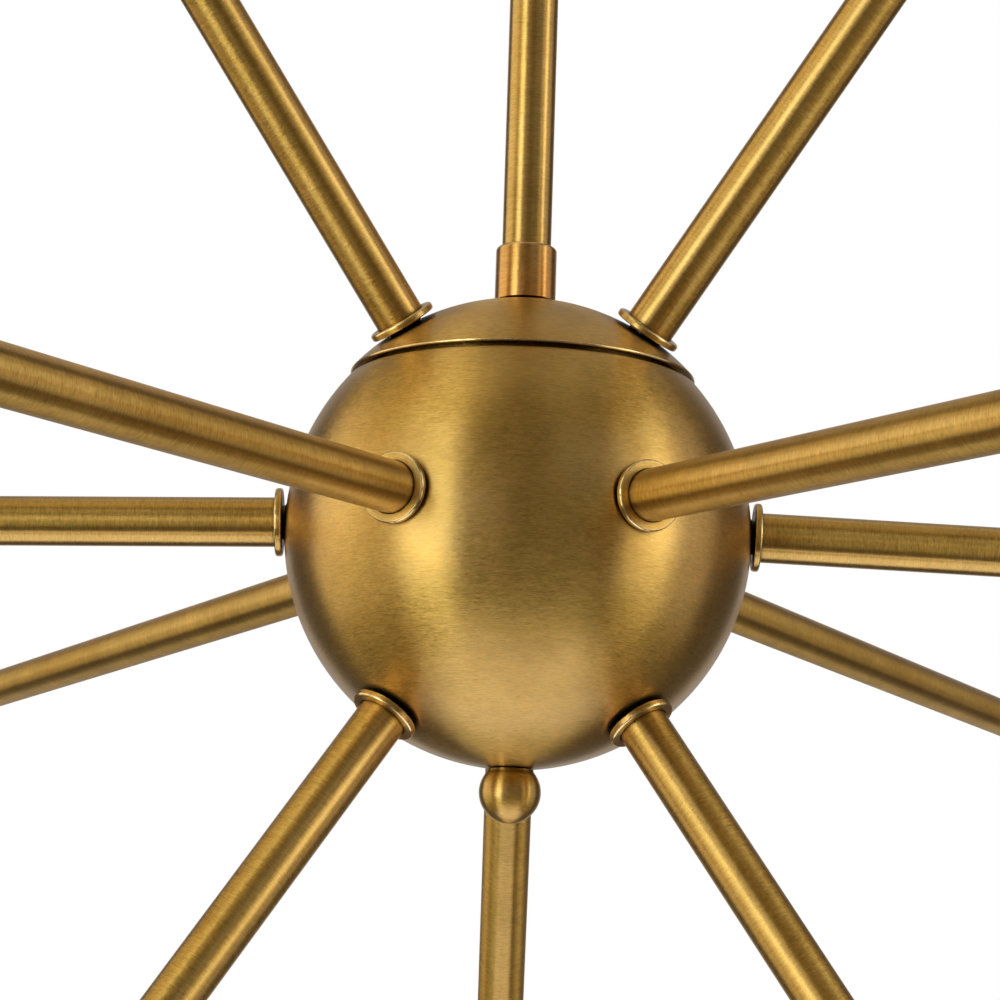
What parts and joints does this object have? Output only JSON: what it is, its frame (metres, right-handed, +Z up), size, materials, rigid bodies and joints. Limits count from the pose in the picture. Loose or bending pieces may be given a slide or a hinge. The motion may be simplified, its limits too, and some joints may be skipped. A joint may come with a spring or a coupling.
{
  "type": "multi arm chandelier",
  "caption": "Ball-hub chandelier with straight tubular arms in three rows, each ending in a lampholder, on a two-piece stem with a tilting, turning swivel and a round canopy.",
  "frame": {"origin": "middle of the ceiling mount, on the ceiling's surface, where the canopy's rim and the crossbar's top face lie", "axes": "+Z up into the ceiling along the stem, +X along the crossbar, -Y the front: two middle-row arms point 30 degrees either side of it"},
  "size_m": [0.9306, 0.822, 1.1326],
  "materials": {
    "satin_brass": "satin aged brass, brushed round each piece",
    "warm_brass": "satin brass, a little redder",
    "zinc_steel": "bright zinc plate",
    "ground_green": "green lacquer",
    "holder_insulator": "black moulded phenolic",
    "screw_shell": "bright rolled brass"
  },
  "bodies": {
    "ceiling_fitting": {"canopy": "satin_brass", "crossbar": "zinc_steel", "canopy_nipple": "zinc_steel", "crossbar_locknut": "zinc_steel", "canopy_locknut": "zinc_steel", "ground_screw": "ground_green", "canopy_stud_left": "zinc_steel", "canopy_stud_right": "zinc_steel", "canopy_knob_left": "satin_brass", "canopy_knob_right": "satin_brass", "mounting_screw_left": "zinc_steel", "mounting_screw_right": "zinc_steel"},
    "swivel_head": {"swivel_fork": "satin_brass", "swivel_pin": "zinc_steel"},
    "pendant": {"swivel_tongue": "satin_brass", "stem_upper": "satin_brass", "stem_coupling": "satin_brass", "stem_lower": "satin_brass", "hub_collar": "warm_brass", "hub_lid": "satin_brass", "hub_body": "satin_brass", "centre_rod": "zinc_steel", "lid_locknut": "zinc_steel", "finial": "satin_brass", "arm_tube_upper_1": "satin_brass", "arm_washer_upper_1": "satin_brass", "lampholder_upper_1": "satin_brass", "arm_tube_upper_2": "satin_brass", "arm_washer_upper_2": "satin_brass", "lampholder_upper_2": "satin_brass", "arm_tube_upper_3": "satin_brass", "arm_washer_upper_3": "satin_brass", "lampholder_upper_3": "satin_brass", "arm_tube_middle_1": "satin_brass", "arm_washer_middle_1": "satin_brass", "lampholder_middle_1": "satin_brass", "arm_tube_middle_2": "satin_brass", "arm_washer_middle_2": "satin_brass", "lampholder_middle_2": "satin_brass", "arm_tube_middle_3": "satin_brass", "arm_washer_middle_3": "satin_brass", "lampholder_middle_3": "satin_brass", "arm_tube_middle_4": "satin_brass", "arm_washer_middle_4": "satin_brass", "lampholder_middle_4": "satin_brass", "arm_tube_middle_5": "satin_brass", "arm_washer_middle_5": "satin_brass", "lampholder_middle_5": "satin_brass", "arm_tube_middle_6": "satin_brass", "arm_washer_middle_6": "satin_brass", "lampholder_middle_6": "satin_brass", "arm_tube_lower_1": "satin_brass", "arm_washer_lower_1": "satin_brass", "lampholder_lower_1": "satin_brass", "arm_tube_lower_2": "satin_brass", "arm_washer_lower_2": "satin_brass", "lampholder_lower_2": "satin_brass", "arm_tube_lower_3": "satin_brass", "arm_washer_lower_3": "satin_brass", "lampholder_lower_3": "satin_brass"}
  },
  "joints": [
    {"name": "swivel_turn", "type": "hinge", "parent": "ceiling_fitting", "child": "swivel_head", "pos_m": [0, 0, -0.03], "axis": [0, 0, 1], "range_deg": [-170, 170]},
    {"name": "swivel_tilt", "type": "hinge", "parent": "swivel_head", "child": "pendant", "pos_m": [0, 0, -0.041], "axis": [1, 0, 0], "range_deg": [-45, 45]}
  ]
}
